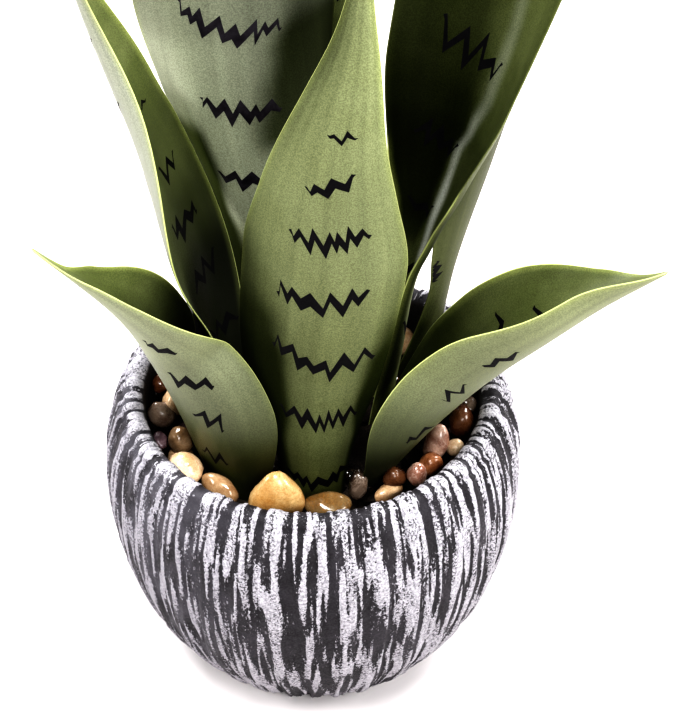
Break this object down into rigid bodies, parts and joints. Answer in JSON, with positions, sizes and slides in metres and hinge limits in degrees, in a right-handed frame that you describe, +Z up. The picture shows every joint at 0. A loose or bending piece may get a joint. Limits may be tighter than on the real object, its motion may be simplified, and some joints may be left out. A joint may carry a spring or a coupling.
{
  "type": "potted snake plant",
  "caption": "Small ornamental snake plant with channelled, zigzag-banded blades standing in a round ridged cast pot topped with polished pebbles.",
  "frame": {"origin": "centre of the pot's flat underside", "axes": "+Z up through the pot and along the leaves, -Y to the front of the plant, where the broad front leaf stands"},
  "size_m": [0.1775, 0.1565, 0.3971],
  "materials": {
    "pot_cast": "cast body with upright bark-like ridges, charcoal with white dry-brushed ridge tops",
    "planting_core": "dark matt planting block",
    "leaf_green": "soft matt green with fine grain, pale rim and black hand-painted zigzag bands",
    "pebble_amber": "polished amber",
    "pebble_tan": "polished tan",
    "pebble_rose": "polished dusty rose",
    "pebble_grey": "polished grey brown",
    "pebble_umber": "polished red brown",
    "pebble_cream": "polished cream and peach",
    "pebble_plum": "polished dark plum"
  },
  "bodies": {
    "root": {"pot": "pot_cast", "planting_core": "planting_core", "leaf_front": "leaf_green", "leaf_low_left": "leaf_green", "leaf_low_right": "leaf_green", "leaf_low_back": "leaf_green", "leaf_mid_left": "leaf_green", "leaf_mid_right": "leaf_green", "leaf_tall_left": "leaf_green", "leaf_tall_right": "leaf_green", "leaf_tall_back": "leaf_green", "pebble_01": "pebble_amber", "pebble_02": "pebble_amber", "pebble_03": "pebble_grey", "pebble_04": "pebble_tan", "pebble_05": "pebble_umber", "pebble_06": "pebble_rose", "pebble_07": "pebble_rose", "pebble_08": "pebble_umber", "pebble_09": "pebble_grey", "pebble_10": "pebble_cream", "pebble_11": "pebble_tan", "pebble_12": "pebble_tan", "pebble_13": "pebble_plum", "pebble_14": "pebble_grey", "pebble_15": "pebble_cream", "pebble_16": "pebble_umber", "pebble_17": "pebble_tan", "pebble_18": "pebble_cream", "pebble_19": "pebble_grey", "pebble_20": "pebble_umber", "pebble_21": "pebble_rose", "pebble_22": "pebble_amber", "pebble_23": "pebble_plum", "pebble_24": "pebble_tan", "pebble_25": "pebble_cream", "pebble_26": "pebble_grey", "pebble_27": "pebble_umber", "pebble_28": "pebble_rose", "pebble_29": "pebble_amber", "pebble_30": "pebble_plum", "pebble_31": "pebble_tan", "pebble_32": "pebble_cream", "pebble_33": "pebble_grey", "pebble_34": "pebble_umber", "pebble_35": "pebble_rose", "pebble_36": "pebble_amber", "pebble_37": "pebble_plum", "pebble_38": "pebble_tan", "pebble_39": "pebble_cream", "pebble_40": "pebble_grey", "pebble_41": "pebble_umber", "pebble_42": "pebble_rose", "pebble_43": "pebble_amber", "pebble_44": "pebble_plum", "pebble_45": "pebble_tan", "pebble_46": "pebble_cream", "pebble_47": "pebble_grey", "pebble_48": "pebble_umber", "pebble_49": "pebble_rose"}
  },
  "joints": []
}
